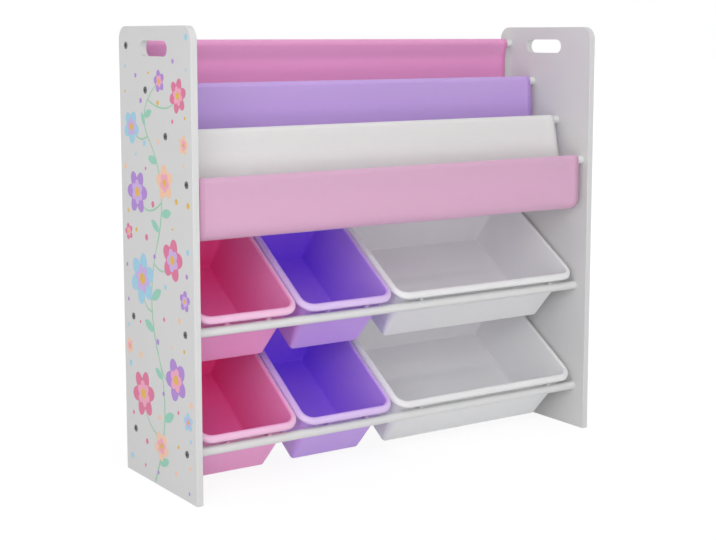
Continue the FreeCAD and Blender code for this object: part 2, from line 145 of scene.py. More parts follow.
# The print's loose dots: tries, places from the panel's middle and floor, sizes and room
DOT_SEED = 11
DOT_TRIES = 900
DOT_ACROSS = 0.118
DOT_LOWEST = 0.015
DOT_HIGHEST = 0.765
DOT_SMALLEST = 0.0022
DOT_LARGEST = 0.0058
DOT_GAP = 0.010
DOT_ROOM = 0.020

# The camera: its sensor in millimetres, lengths on the picture in pixels, and angles in degrees
PICTURE_WIDTH = 716
SENSOR_WIDTH = 36.0
FOCAL_PIXELS = 1436.619
SHIFT_PIXELS = -50
CAMERA_PLACE = (-1.481528, -2.174884, 0.765807)
CAMERA_DOWN = 7.36
CAMERA_TURN = -34.064


def linear(red, green, blue):
    """An sRGB colour, 0 to 255, as linear light."""
    def channel(level):
        level /= 255
        return level / 12.92 if level <= 0.04045 else ((level + 0.055) / 1.055) ** 2.4
    return channel(red), channel(green), channel(blue), 1.0


# Materials

class Socket:
    """An output socket among a material's nodes; arithmetic on it adds Math nodes."""

    def __init__(self, tree, socket=None):
        self.tree = tree
        self.socket = socket

    def add(self, kind, sockets=None, out=0, **settings):
        """One node: its settings first, then the values or links of its sockets."""
        node = self.tree.nodes.new("ShaderNode" + kind)
        for name, setting in settings.items():
            setattr(node, name, setting)
        for key, given in (sockets or {}).items():
            if isinstance(given, Socket):
                self.tree.links.new(given.socket, node.inputs[key])
            else:
                node.inputs[key].default_value = given
        return Socket(self.tree, node.outputs[out])

    def math(self, operation, first, second=0.0):
        return self.add("Math", {0: first, 1: second}, operation=operation)

    def __add__(self, other):
        return self.math("ADD", self, other)

    __radd__ = __add__

    def __sub__(self, other):
        return self.math("SUBTRACT", self, other)

    def __rsub__(self, other):
        return self.math("SUBTRACT", other, self)

    def __mul__(self, other):
        return self.math("MULTIPLY", self, other)

    __rmul__ = __mul__

    def __truediv__(self, other):
        return self.math("DIVIDE", self, other)

    def __lt__(self, other):
        return self.math("LESS_THAN", self, other)

    def sine(self):
        return self.math("SINE", self)

    def size(self):
        return self.math("ABSOLUTE", self)

    def part(self):
        return self.math("FRACT", self)


def new_finish(name, **constants):
    """A material with one Principled shader: gives it, a socket to build on, and the shader."""
    material = bpy.data.materials.new(name)
    material.use_nodes = True
    tree = material.node_tree
    shader = tree.nodes["Principled BSDF"]
    for key, given in constants.items():
        shader.inputs[key.replace("_", " ")].default_value = given
    return material, Socket(tree), shader


def feed(node, key, source):
    """Links a socket to one of a node's inputs."""
    source.tree.links.new(source.socket, node.inputs[key])


def on_piece(start):
    """Places on the piece, in metres."""
    return start.add("TexCoord", out="Object")


def mix_rgba(start, factor, first, second):
    """A colour mix, by socket number because a Mix node has one set of sockets per data type."""
    return start.add("Mix", {0: factor, 6: first, 7: second}, out=2, data_type="RGBA")


def mottle(start, where, scale, detail=3.0):
    """Cloudy noise, 0 to 1."""
    return start.add("TexNoise", {"Vector": where, "Scale": scale, "Detail": detail})


def spread(start, value, low, high):
    """A 0 to 1 value spread from low to high."""
    return start.add("MapRange", {"Value": value, "To Min": low, "To Max": high})


def bump(start, height, strength, distance):
    """A normal that follows the height."""
    return start.add("Bump", {"Height": height, "Strength": strength, "Distance": distance})


def tint(colour, share):
    """The colour, darker or lighter by a share."""
    return tuple(min(1.0, level * share) for level in colour[:3]) + (1.0,)


def shades(start, value, colour, low, high):
    """The colour from a darker to a lighter tint, as a 0 to 1 value runs."""
    return mix_rgba(start, value, tint(colour, low), tint(colour, high))


def lacquered_board(name, colour):
    """White lacquer on board: a faint roller texture and a little unevenness of tone and gloss."""
    material, start, shader = new_finish(name, Specular_IOR_Level=0.4)
    where = on_piece(start)
    cloud = mottle(start, where, scale=7.0)
    gloss = mottle(start, where, scale=40.0)
    peel = mottle(start, where, scale=900.0, detail=2.0)
    feed(shader, "Base Color", shades(start, cloud, colour, low=0.975, high=1.02))
    feed(shader, "Roughness", spread(start, gloss, low=0.40, high=0.54))
    feed(shader, "Normal", bump(start, peel, strength=0.05, distance=0.0004))
    return material


def powder_coat(name, colour):
    """White powder coat on steel tube, with its fine orange-peel skin."""
    material, start, shader = new_finish(name, Specular_IOR_Level=0.5)
    where = on_piece(start)
    cloud = mottle(start, where, scale=25.0)
    peel = mottle(start, where, scale=700.0, detail=2.0)
    feed(shader, "Base Color", shades(start, cloud, colour, low=0.97, high=1.02))
    feed(shader, "Roughness", spread(start, cloud, low=0.30, high=0.42))
    feed(shader, "Normal", bump(start, peel, strength=0.08, distance=0.0004))
    return material


def dark_plating(name):
    """The screws' dark zinc, with brighter worn spots and uneven gloss."""
    material, start, shader = new_finish(name, Metallic=0.8)
    where = on_piece(start)
    worn = mottle(start, where, scale=600.0)
    gloss = mottle(start, where, scale=1500.0)
    feed(shader, "Base Color", mix_rgba(start, worn, linear(74, 74, 78), linear(132, 132, 136)))
    feed(shader, "Roughness", spread(start, gloss, low=0.30, high=0.52))
    return material


def plug_moulding(name):
    """Unpainted nylon of the plugs inside the tube ends."""
    material, start, shader = new_finish(name, Specular_IOR_Level=0.4)
    cloud = mottle(start, on_piece(start), scale=200.0)
    feed(shader, "Base Color", mix_rgba(start, cloud, linear(205, 205, 200), linear(225, 225, 221)))
    feed(shader, "Roughness", spread(start, cloud, low=0.45, high=0.6))
    return material


def moulded_plastic(name, outside, inside, edge):
    """Moulded bin plastic: satin, with a fine mould grain. Some light passes its thin wall. Its deeper
    inside colour is painted shade and its pale rim edge a painted highlight.
    """
    material, start, shader = new_finish(name, Specular_IOR_Level=0.5, Subsurface_Weight=0.6,
                                         Subsurface_Radius=(1.0, 1.0, 1.0), Subsurface_Scale=0.006)
    where = on_piece(start)
    cloud = mottle(start, where, scale=9.0)
    gloss = mottle(start, where, scale=60.0)
    grain = mottle(start, where, scale=1400.0, detail=2.0)
    painted_shade = start.add("Attribute", out="Fac", attribute_name="painted_shade")
    painted_rim_highlight = start.add("Attribute", out="Fac", attribute_name="painted_rim_highlight")
    skin = shades(start, cloud, outside, low=0.97, high=1.03)
    # Painted shade: the inside colour, deeper than the outside, takes over down and to the back.
    shaded_inside = shades(start, cloud, inside, low=0.96, high=1.04)
    # Painted highlight: the pale edge colour over the rim.
    feed(shader, "Base Color", mix_rgba(start, painted_rim_highlight, mix_rgba(start, painted_shade, skin, shaded_inside), edge))
    feed(shader, "Roughness", spread(start, gloss, low=0.32, high=0.44))
    feed(shader, "Normal", bump(start, grain, strength=0.06, distance=0.0003))
    return material


def stitch_line(across, along):
    """A running stitch where across is nought: 1 on its threads."""
    on_line = across.size() < STITCH_HALF_WIDTH
    thread = (along / STITCH_LENGTH).part() < STITCH_SHARE
    return on_line * thread


def woven_cloth(name, colour, width):
    """Close plain weave with its threads and slubs, and stitched side hems. The map is in metres."""
    material, start, shader = new_finish(name, Specular_IOR_Level=0.4,
                                         Sheen_Weight=0.3, Sheen_Roughness=0.4,
                                         Subsurface_Weight=0.5, Subsurface_Radius=(1.0, 1.0, 1.0),
                                         Subsurface_Scale=0.003)
    where = start.add("UVMap", uv_map="cut")
    across = start.add("SeparateXYZ", {"Vector": where}, out="X")
    along = start.add("SeparateXYZ", {"Vector": where}, out="Y")
    pitch = 2 * math.pi / THREAD_PITCH
    threads = ((across * pitch).sine() * (along * pitch).sine()) * 0.5 + 0.5
    slub = mottle(start, where, scale=45.0, detail=5.0)
    tone = threads * 0.5 + slub * 0.5
    # The hem's deeper colour: partly the doubled cloth's own tone, partly painted shade.
    doubled = tuple(level ** HEM_DEPTH for level in colour)
    single = shades(start, tone, colour, low=0.97, high=1.03)
    hem = shades(start, tone, doubled, low=0.97, high=1.03)
    from_edge = start.math("MINIMUM", across, width - across)
    cloth = mix_rgba(start, from_edge < SIDE_HEM, single, hem)
    stitches = stitch_line(from_edge - (SIDE_HEM - STITCH_INSET), along)
    relief = threads + slub * 0.3 - stitches * 1.5
    feed(shader, "Base Color", mix_rgba(start, stitches, cloth, tint(colour, 0.9)))
    feed(shader, "Roughness", spread(start, slub, low=0.52, high=0.62))
    feed(shader, "Normal", bump(start, relief, strength=0.10, distance=0.0004))
    return material


def printing_ink(name, colour):
    """Screen-printed ink, slightly uneven in tone."""
    material, start, shader = new_finish(name, Specular_IOR_Level=0.35)
    cloud = mottle(start, on_piece(start), scale=45.0)
    feed(shader, "Base Color", shades(start, cloud, colour, low=0.94, high=1.05))
    feed(shader, "Roughness", spread(start, cloud, low=0.42, high=0.55))
    return material


def seen_directly(start):
    """1 for what the camera, a reflection or a clear material shows, 0 for light on the object."""
    path = start.tree.nodes.new("ShaderNodeLightPath")
    camera, glossy, clear = (Socket(start.tree, path.outputs[f"Is {kind} Ray"])
                             for kind in ("Camera", "Glossy", "Transmission"))
    return start.math("MAXIMUM", start.math("MAXIMUM", camera, glossy), clear)


def studio_floor(name, near_share, near, far):
    """White floor that keeps the rack's shadow and turns plain white away from it."""
    material, start, shader = new_finish(name, Roughness=0.9, Specular_IOR_Level=0.0)
    where = on_piece(start)
    cloud = mottle(start, where, scale=1.5)
    feed(shader, "Base Color", mix_rgba(start, cloud, (0.90, 0.90, 0.90, 1), (0.92, 0.92, 0.92, 1)))
    distance = start.add("VectorMath", {0: where}, out="Value", operation="LENGTH")
    white = start.add("MapRange", {"Value": distance, "From Min": near, "From Max": far,
                                   "To Min": near_share, "To Max": 1.0})
    glow = start.add("Emission", {"Color": (1, 1, 1, 1), "Strength": 1.06})
    lit = Socket(start.tree, shader.outputs[0])
    surface = start.add("MixShader", {0: white * seen_directly(start), 1: lit, 2: glow})
    feed(start.tree.nodes["Material Output"], "Surface", surface)
    return material


# Mesh pieces

def verts_of(made, key="geom"):
    return [item for item in made[key] if isinstance(item, bmesh.types.BMVert)]


def edges_of(made):
    return [item for item in made["geom"] if isinstance(item, bmesh.types.BMEdge)]


def fill_mesh(name, mould):
    """A mesh from a bmesh, which is let go."""
    mesh = bpy.data.meshes.new(name)
    mould.to_mesh(mesh)
    mould.free()
    return mesh


def add_object(name, data):
    """A new object in the scene."""
    added = bpy.data.objects.new(name, data)
    bpy.context.scene.collection.objects.link(added)
    return added


def dress(node, finish):
    """Gives a kept CAD node its finish."""
    mesh = nodes[node].data
    mesh.materials.clear()
    mesh.materials.append(finish)


def make_piece(name, mould, body, finish):
    """An object from a filled bmesh: smooth faces, riding on its body."""
    mesh = fill_mesh(name, mould)
    mesh.shade_smooth()
    mesh.materials.append(finish)
    piece = add_object(name, mesh)
    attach(piece, body)
    return piece


def weld(piece, mould):
    """Joins the closed shapes of a bmesh to the piece, with no face left inside and no sliver."""
    mesh = fill_mesh("added_shapes", mould)
    mesh.shade_smooth()
    added = add_object("added_shapes", mesh)
    join = piece.modifiers.new("join", "BOOLEAN")
    join.operation = "UNION"
    join.solver = "EXACT"
    join.object = added
    depsgraph = bpy.context.evaluated_depsgraph_get()
    joined = bpy.data.meshes.new_from_object(piece.evaluated_get(depsgraph))
    piece.modifiers.remove(join)
    bpy.data.objects.remove(added)
    skin = bmesh.new()
    skin.from_mesh(joined)
    bmesh.ops.remove_doubles(skin, verts=skin.verts, dist=WELD_GAP)
    skin.to_mesh(joined)
    skin.free()
    piece.data = joined


def even_normals(piece):
    """Keeps broad flats flat beside their rounded edges."""
    modifier = piece.modifiers.new("flats", "WEIGHTED_NORMAL")
    modifier.keep_sharp = True


def tube_middle(node):
    """A lying tube's middle, as a point at X = 0, and its radius."""
    low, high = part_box(node)
    middle = (low + high) / 2
    return Vector((0, middle.y, middle.z)), (high.z - low.z) / 2


# Tubes

def steel_tube(node, finish):
    """A round tube with its wall, from panel to panel."""
    low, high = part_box(node)
    middle, radius = tube_middle(node)
    mould = bmesh.new()
    to_end = Matrix.Translation((low.x, middle.y, middle.z)) @ Matrix.Rotation(math.pi / 2, 4, "Y")
    ring = bmesh.ops.create_circle(mould, segments=TUBE_SIDES, radius=radius, matrix=to_end)
    edges = {edge for vert in ring["verts"] for edge in vert.link_edges}
    made = bmesh.ops.extrude_edge_only(mould, edges=list(edges))
    bmesh.ops.translate(mould, verts=verts_of(made), vec=(high.x - low.x, 0, 0))
    bmesh.ops.recalc_face_normals(mould, faces=mould.faces)
    side = mould.faces[:][0]
    if side.normal.dot(side.calc_center_median() - middle) < 0:
        bmesh.ops.reverse_faces(mould, faces=mould.faces)
    bmesh.ops.solidify(mould, geom=mould.faces[:], thickness=TUBE_WALL)
    piece = make_piece(node + "_tube", mould, "frame", finish)
    piece.data.set_sharp_from_angle(angle=SHARP_TURN)
    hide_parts(node)


# Toy bins

def bin_placement(row):
    """From a bin that lies level, rim up and its front rim edge on the X axis, to the rack.
    Gives the rail's radius too."""
    front, radius = tube_middle(f"{row}_front_rail")
    rear, _ = tube_middle(f"{row}_rear_rail")
    tilt = math.asin((BIN_DEPTH + radius + SEAT_GAP - HOOK_DROP) / (rear.y - front.y))
    place = front + HOOK_DROP * Vector((0, -math.sin(tilt), math.cos(tilt)))
    return Matrix.Translation(place) @ Matrix.Rotation(tilt, 4, "X"), radius


def rounded_sheet(mould, width, length, corner, height):
    """One face with four round corners, front edge over the X axis."""
    made = bmesh.ops.create_grid(mould, x_segments=1, y_segments=1, size=0.5)
    corners = made["verts"]
    bmesh.ops.scale(mould, verts=corners, vec=(width, length, 1))
    bmesh.ops.translate(mould, verts=corners, vec=(0, length / 2, height))
    bmesh.ops.bevel(mould, geom=corners, offset=corner, offset_type="OFFSET", affect="VERTICES",
                    segments=ROUND_STEPS, profile=0.5, material=-1)
    mould.faces.ensure_lookup_table()
    return mould.faces[0]


def push_face(mould, face, shift):
    """Extrudes one face and gives the new one."""
    made = bmesh.ops.extrude_face_region(mould, geom=[face])
    new = [item for item in made["geom"] if isinstance(item, bmesh.types.BMFace)][0]
    bmesh.ops.translate(mould, verts=new.verts, vec=shift)
    if face.is_valid:
        bmesh.ops.delete(mould, geom=[face], context="FACES_ONLY")
    return new


def rim_height(inset):
    """How high the rim's rounded slope stands, some way in from its outer edge. Its crown is nought."""
    share = 1 - inset / (RIM_REACH - MOUTH_ROUND)
    return RIM_SLOPE * (math.sqrt(1 - share * share) - 1)


def rim_profile():
    """Steps over the rim, up its slope and round into the mouth: how far inwards, and how far up."""
    turns = [math.pi / 2 * i / ROUND_STEPS for i in range(ROUND_STEPS + 1)]
    insets = [(RIM_REACH - MOUTH_ROUND) * (1 - math.cos(turn)) for turn in turns]
    slope = [(inset, rim_height(inset)) for inset in insets]
    mouth = [(RIM_REACH + MOUTH_ROUND * (math.sin(turn) - 1), MOUTH_ROUND * (math.cos(turn) - 1))
             for turn in turns[2::2]]
    return slope + mouth


def shrink_corners(mould, face, share):
    """Draws the face's round corners towards their sharp corner points."""
    xs = [vert.co.x for vert in face.verts]
    ys = [vert.co.y for vert in face.verts]
    middle_x = (min(xs) + max(xs)) / 2
    middle_y = (min(ys) + max(ys)) / 2
    for x in (min(xs), max(xs)):
        for y in (min(ys), max(ys)):
            group = [vert for vert in face.verts
                     if (vert.co.x - middle_x) * (x - middle_x) > 0
                     and (vert.co.y - middle_y) * (y - middle_y) > 0]
            bmesh.ops.scale(mould, verts=group, vec=(share, share, 1),
                            space=Matrix.Translation((-x, -y, 0)))


def bin_skin(mould, painted_rim_highlight, width):
    """The skin up over the rim, down the tapered inner walls and across the floor. Marks the rim's
    painted highlight.
    """
    steps = rim_profile()
    face = rounded_sheet(mould, width, BIN_LENGTH, RIM_CORNER, -RIM_LIP)
    face = push_face(mould, face, (0, 0, RIM_LIP + steps[0][1]))
    # Painted highlight on the rim: full on its lip and outer half, fading into the mouth.
    for vert in mould.verts:
        vert[painted_rim_highlight] = 1.0
    for (inset, height), (next_inset, next_height) in zip(steps, steps[1:]):
        bmesh.ops.inset_region(mould, faces=[face], thickness=next_inset - inset,
                               depth=next_height - height, use_boundary=True, use_even_offset=True)
        for vert in face.verts:
            vert[painted_rim_highlight] = min(1.0, 2 - 2 * next_inset / RIM_REACH)
    face = push_face(mould, face, (0, 0, -BIN_DEPTH + BIN_WALL - steps[-1][1]))
    half_width, half_length = width / 2, BIN_LENGTH / 2
    shares = ((half_width - SIDE_INSET - BIN_WALL) / (half_width - RIM_REACH),
              (half_length - END_INSET - BIN_WALL) / (half_length - RIM_REACH), 1)
    bmesh.ops.scale(mould, verts=face.verts, vec=shares, space=Matrix.Translation((0, -half_length, 0)))
    shrink_corners(mould, face, FOOT_SHARE)
    for vert in face.verts:
        vert[painted_rim_highlight] = 0.0
    bmesh.ops.bevel(mould, geom=list(face.edges), offset=FOOT_ROUND, offset_type="OFFSET", affect="EDGES",
                    segments=3, profile=0.5, material=-1, clamp_overlap=True)


def colour_skin(mould, painted_rim_highlight, painted_shade):
    """Marks how far the painted shade of the deeper inner colour takes over, and fades the rim's painted
    highlight to the back, as painted shade.
    """
    for vert in mould.verts:
        back = vert.co.y / BIN_LENGTH
        vert[painted_shade] = PAINTED_SHADE_MOUTH - PAINTED_SHADE_DOWN * vert.co.z / BIN_DEPTH + PAINTED_SHADE_BACK * back
        vert[painted_rim_highlight] *= 1 - RIM_HIGHLIGHT_FADE * back


def give_wall(mould, painted_shade):
    """Gives the skin its wall, whose outer side has none of the painted shade."""
    skin = list(mould.faces)
    bmesh.ops.recalc_face_normals(mould, faces=skin)
    if max(skin, key=lambda face: face.calc_area()).normal.z < 0:
        bmesh.ops.reverse_faces(mould, faces=skin)
    inner = set(mould.verts)
    bmesh.ops.solidify(mould, geom=skin, thickness=BIN_WALL)
    for vert in mould.verts:
        if vert not in inner:
            vert[painted_shade] = 0.0


def hook_tab(mould, middle_x, radius):
    """A tab under the front rim that sits over the rail, its lower end hollowed for it."""
    seat = radius + SEAT_GAP
    middle = RIM_REACH / 2
    top = rim_height(middle) - BIN_WALL / 2
    foot = -HOOK_DROP - HOOK_GRIP
    draft = (END_INSET - RIM_REACH + BIN_WALL) / BIN_DEPTH
    wall = RIM_REACH - BIN_WALL / 2
    start_turn = math.acos(HOOK_FRONT / seat)
    end_turn = math.asin(-HOOK_GRIP / seat)
    left = middle_x - HOOK_WIDTH / 2
    first = mould.verts.new((left, HOOK_FRONT, -HOOK_DROP + seat * math.sin(start_turn)))
    spun = bmesh.ops.spin(mould, geom=[first], cent=(left, 0, -HOOK_DROP), axis=(1, 0, 0),
                          angle=end_turn - start_turn, steps=ROUND_STEPS, use_merge=False)
    chain = [first]
    last = verts_of(spun, "geom_last")[0]
    while chain[-1] is not last:
        chain.append([edge.other_vert(chain[-1]) for edge in chain[-1].link_edges
                      if edge.other_vert(chain[-1]) not in chain[-2:]][0])
    outline = chain + [mould.verts.new((left, wall + draft * -foot, foot)),
                       mould.verts.new((left, wall, top)),
                       mould.verts.new((left, middle, top)),
                       mould.verts.new((left, HOOK_FRONT, rim_height(HOOK_FRONT) - BIN_WALL / 2))]
    face = mould.faces.new(outline)
    made = bmesh.ops.extrude_face_region(mould, geom=[face], use_keep_orig=True)
    bmesh.ops.translate(mould, verts=verts_of(made), vec=(HOOK_WIDTH, 0, 0))
    tab = set(verts_of(made)) | set(outline)
    faces = [item for item in mould.faces if set(item.verts) <= tab]
    bmesh.ops.recalc_face_normals(mould, faces=faces)
    sides = [item for item in faces if abs(item.normal.x) > 0.9]
    edges = {edge for item in sides for edge in item.edges}
    bmesh.ops.bevel(mould, geom=list(edges), offset=HOOK_EDGE, offset_type="OFFSET", affect="EDGES",
                    segments=2, profile=0.5, material=-1, clamp_overlap=True)


def toy_bin(node, row, finish):
    """A tapered moulded bin with a sloping rim, rounded inner edges and two hook tabs."""
    low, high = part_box(node)
    width, middle_x = high.x - low.x, (high.x + low.x) / 2
    placement, radius = bin_placement(row)
    mould = bmesh.new()
    # Layers for the painted shade inside and the painted highlight on the rim.
    painted_shade = mould.verts.layers.float.new("painted_shade")
    painted_rim_highlight = mould.verts.layers.float.new("painted_rim_highlight")
    bin_skin(mould, painted_rim_highlight, width)
    colour_skin(mould, painted_rim_highlight, painted_shade)
    give_wall(mould, painted_shade)
    tabs = bmesh.new()
    for side in (-1, 1):
        hook_tab(tabs, side * (width / 2 - HOOK_INSET), radius)
    to_rack = Matrix.Translation((middle_x, 0, 0)) @ placement
    for shape in (mould, tabs):
        bmesh.ops.transform(shape, matrix=to_rack, verts=shape.verts)
    piece = make_piece(node + "_moulding", mould, node, finish)
    weld(piece, tabs)
    even_normals(piece)
    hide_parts(node)


# Cloth slings

class SlingPath:
    """The middle line of one sling's cloth in the YZ plane, as the part's source has it."""

    def __init__(self, number, lean_degrees):
        self.rod, radius = tube_middle(f"sling_rod_{number}")
        self.sleeve = radius + SLEEVE_EASE
        lean = math.radians(lean_degrees)
        self.down = Vector((0, -math.sin(lean), -math.cos(lean)))
        self.forward = Vector((0, -math.cos(lean), math.sin(lean)))
        self.single = number == 1
        self.straight = SLING_DROP + (SEAM_PAST_BEND + SIDE_HEM if self.single else 0)
        self.offset = BACK_SLING_OFFSET if self.single else self.sleeve
        self.top = self.rod + self.forward * self.offset
        self.bottom = self.top + self.down * self.straight
        self.bend_centre = self.bottom - self.forward * SLING_BEND
        self.start_turn = math.pi - lean

    def seam_place(self):
        """Where the next sling's rear edge is sewn to this one's front, and the way out of that front."""
        if self.single:
            return self.top + self.down * (SLING_DROP + SEAM_PAST_BEND), self.forward
        turn = self.start_turn + SEAM_PAST_BEND / SLING_BEND
        out = Vector((0, math.cos(turn), math.sin(turn)))
        return self.bend_centre + out * SLING_BEND, out

    def bend_angle(self, seam):
        """How far the cloth turns round the bottom before it rises straight to the seam."""
        way = seam - self.bend_centre
        end_turn = math.atan2(way.z, way.y) - math.acos(SLING_BEND / way.length) + 2 * math.pi
        return end_turn - self.start_turn


class Thread:
    """A line that grows from vertex to vertex, straight or round a centre in the YZ plane."""

    def __init__(self, mould, start):
        self.mould = mould
        self.end = mould.verts.new(start)

    def go(self, point):
        """On in a straight line, in steps of about the cloth's step."""
        way = Vector(point) - self.end.co
        steps = max(1, round(way.length / CLOTH_STEP))
        for _ in range(steps):
            made = bmesh.ops.extrude_vert_indiv(self.mould, verts=[self.end])
            self.end = made["verts"][0]
            bmesh.ops.translate(self.mould, verts=[self.end], vec=way / steps)

    def turn(self, centre, angle, step):
        """On round a centre; a positive angle turns from Y towards Z."""
        steps = max(2, round(abs(angle) / step))
        spun = bmesh.ops.spin(self.mould, geom=[self.end], cent=centre, axis=(1, 0, 0), angle=angle,
                              steps=steps, use_merge=False)
        self.end = verts_of(spun, "geom_last")[0]


def tangent_turn(centre, radius, point, side):
    """The turn at which a straight line from a circle's side reaches the point."""
    way = point - centre
    return math.atan2(way.z, way.y) + side * math.acos(radius / way.length)


def on_circle(centre, radius, turn):
    return centre + radius * Vector((0, math.cos(turn), math.sin(turn)))


def cloth_line(mould, path, behind):
    """The sling's middle line: up behind the rod, over it, down the front, and round to its seam."""
    stitch = path.rod + path.forward * (path.offset - CLOTH) + path.down * SLEEVE_DEPTH
    rear_turn = tangent_turn(path.rod, path.sleeve, stitch, 1)
    thread = Thread(mould, stitch)
    first = thread.end
    thread.go(on_circle(path.rod, path.sleeve, rear_turn))
    if path.single:
        meeting = path.top + path.down * SLEEVE_DEPTH
        front_turn = tangent_turn(path.rod, path.sleeve, meeting, -1)
        thread.turn(path.rod, front_turn - rear_turn + 2 * math.pi, SLEEVE_TURN)
        thread.go(meeting)
        thread.go(path.bottom)
    else:
        front_turn = math.atan2(path.forward.z, path.forward.y)
        thread.turn(path.rod, (front_turn - rear_turn) % (2 * math.pi), SLEEVE_TURN)
        point, out = behind.seam_place()
        seam = point + out * CLOTH_AND_HEM
        thread.go(path.bottom)
        thread.turn(path.bend_centre, path.bend_angle(seam), BEND_TURN)
        thread.go(seam)
    return first


def run_lengths(first, layer):
    """Notes on each vertex how far along the cloth it lies, and gives the whole length."""
    vert, before, run = first, None, 0.0
    while vert:
        vert[layer] = run
        ends = [edge.other_vert(vert) for edge in vert.link_edges]
        ahead = [end for end in ends if end is not before]
        if ahead:
            run += (ahead[0].co - vert.co).length
        before, vert = vert, ahead[0] if ahead else None
    return run


def cloth_columns(width):
    """Where the cloth's rows of vertices lie across it: close together at its side hems."""
    inner_width = width - 2 * SIDE_HEM
    count = round(inner_width / (2 * CLOTH_STEP))
    inside = [SIDE_HEM + inner_width * i / count for i in range(1, count)]
    return [SIDE_HEM - HEM_STEP, SIDE_HEM, *inside, width - SIDE_HEM, width - SIDE_HEM + HEM_STEP, width]


def draw_across(mould, width):
    """Draws the cloth out from its line, column by column."""
    front = mould.edges[:]
    done = 0.0
    for column in cloth_columns(width):
        made = bmesh.ops.extrude_edge_only(mould, edges=front)
        bmesh.ops.translate(mould, verts=verts_of(made), vec=(column - done, 0, 0))
        front = [edge for edge in edges_of(made)
                 if abs(edge.verts[0].co.x - edge.verts[1].co.x) < 1e-6]
        done = column
    bmesh.ops.recalc_face_normals(mould, faces=mould.faces)
    mould.normal_update()


def ripple(across, run, whole, seed):
    """A slight unevenness of hanging cloth, none at the rod and at the seam."""
    below_rod = max(0.0, (run - RIPPLE_START) / RIPPLE_EASE)
    before_seam = max(0.0, (whole - run) / RIPPLE_EASE)
    hang = min(1.0, below_rod, before_seam)
    place = Vector((across * RIPPLE_ACROSS, run * RIPPLE_ALONG, seed))
    return hang * (BROAD_WAVE * noise.noise(place) + FINE_WAVE * noise.noise(place * FINE_SCALE))


def thicken_cloth(piece, left, right):
    """Gives the cloth its thickness, and more at the side hems."""
    hem_end = SIDE_HEM - HEM_STEP / 2
    in_hem = [vert.index for vert in piece.data.vertices
              if vert.co.x < left + hem_end or vert.co.x > right - hem_end]
    hem = piece.vertex_groups.new(name="hem")
    hem.add(in_hem, 1.0, "REPLACE")
    thick = piece.modifiers.new("cloth", "SOLIDIFY")
    thick.thickness = CLOTH_AND_HEM
    thick.offset = 0.0
    thick.vertex_group = "hem"
    thick.thickness_vertex_group = CLOTH / CLOTH_AND_HEM


def sling_cloth(number, path, behind, finish):
    """A sling sewn from one cut of cloth, with a sleeve for its rod and thicker side hems."""
    node, _ = SLINGS[number]
    low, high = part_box(node)
    left, width = low.x, high.x - low.x
    mould = bmesh.new()
    layer = mould.verts.layers.float.new("run")
    whole = run_lengths(cloth_line(mould, path, behind), layer)
    bmesh.ops.translate(mould, verts=mould.verts, vec=(left, 0, 0))
    draw_across(mould, width)
    shifts = {vert: vert.normal * ripple(vert.co.x, vert[layer], whole, number) for vert in mould.verts}
    for vert, shift in shifts.items():
        vert.co += shift
    cut = mould.loops.layers.uv.new("cut")
    for face in mould.faces:
        for loop in face.loops:
            loop[cut].uv = (loop.vert.co.x - left, loop.vert[layer])
    piece = make_piece(node + "_cloth", mould, "frame", finish)
    thicken_cloth(piece, left, left + width)
    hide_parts(node)


# Printed flowers on the left panel's outer face

